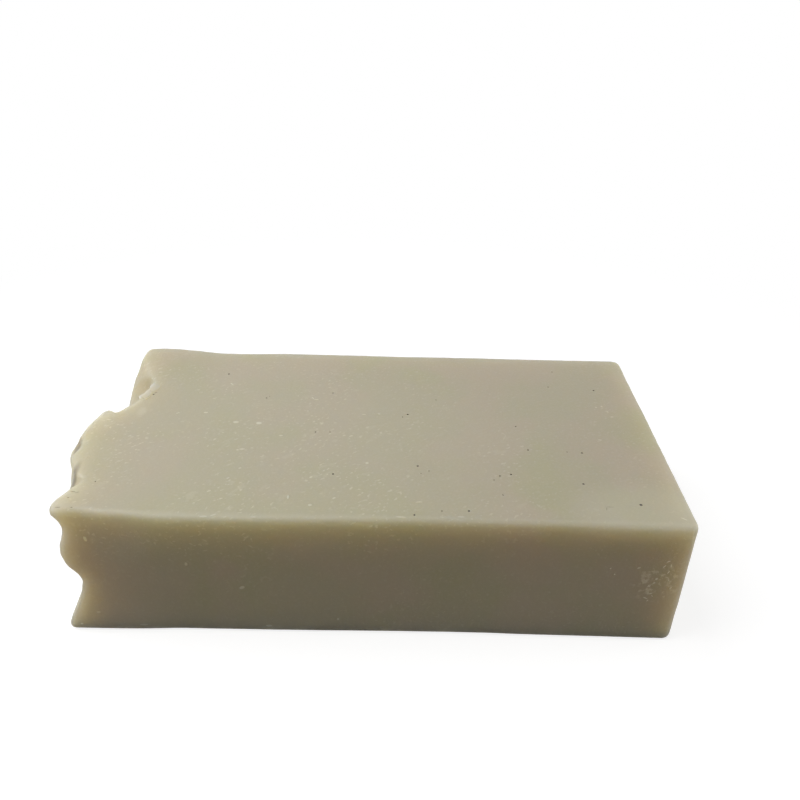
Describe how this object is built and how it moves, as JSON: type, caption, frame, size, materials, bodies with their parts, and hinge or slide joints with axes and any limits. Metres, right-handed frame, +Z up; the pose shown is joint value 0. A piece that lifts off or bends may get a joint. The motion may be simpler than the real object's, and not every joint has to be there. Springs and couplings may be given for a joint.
{
  "type": "bar of soap",
  "caption": "Plain rectangular bar of hand-made soap cut as a slice from a loaf, with three smooth sides and one rough, spooned end.",
  "frame": {"origin": "in the underside, midway along the bar and midway across it", "axes": "+X along the bar towards its flat end, with the spooned end at -X; +Y across the mould's width; +Z up, from the cut face that it lies on to the other cut face"},
  "size_m": [0.0934, 0.05, 0.022],
  "materials": {
    "soap": "waxy, semi-matt, slightly translucent, cream with faint green and pink mottling"
  },
  "bodies": {
    "root": {"soap_bar": "soap"}
  },
  "joints": []
}
